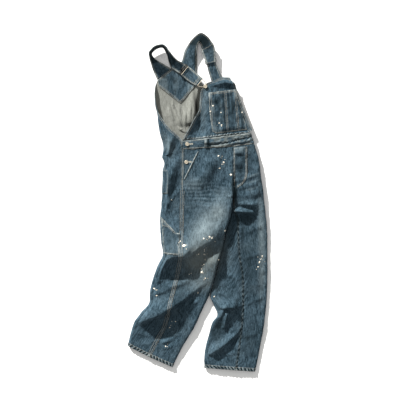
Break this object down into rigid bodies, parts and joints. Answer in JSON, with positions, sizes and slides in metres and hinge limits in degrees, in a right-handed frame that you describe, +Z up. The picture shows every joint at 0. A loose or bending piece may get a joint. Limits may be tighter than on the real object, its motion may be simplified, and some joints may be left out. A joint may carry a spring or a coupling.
{
  "type": "dungarees",
  "caption": "Worn, paint-spattered blue denim dungarees lying flat on their back: bib with pocket, crossing straps, waistband, fly, tool pocket and straight legs.",
  "frame": {"origin": "centre of the bounding box, on the surface the garment lies on", "axes": "+Y toward the shoulder straps, +X to the viewer's right seen from above, +Z up out of the surface"},
  "size_m": [0.5872, 1.4221, 0.0664],
  "materials": {
    "denim": "washed, faded twill",
    "denim_trim": "worn pale edges",
    "brass": "pale, dulled",
    "steel": "dark, satin"
  },
  "bodies": {
    "root": {"front_right": "denim", "front_left": "denim", "back_right": "denim", "back_left": "denim", "waistband": "denim", "bib": "denim", "bib_pocket": "denim", "upper_back_right": "denim", "upper_back_left": "denim", "back_facing": "denim", "fly": "denim", "tool_pocket": "denim", "back_pocket": "denim", "strap_right": "denim", "strap_left": "denim", "strap_left_end": "denim", "pocket_welt": "denim_trim", "belt_loop": "denim_trim", "side_button_upper": "brass", "side_button_lower": "brass", "bib_button": "brass", "bib_hook": "brass", "slider_right": "steel", "slider_left": "steel"}
  },
  "joints": []
}
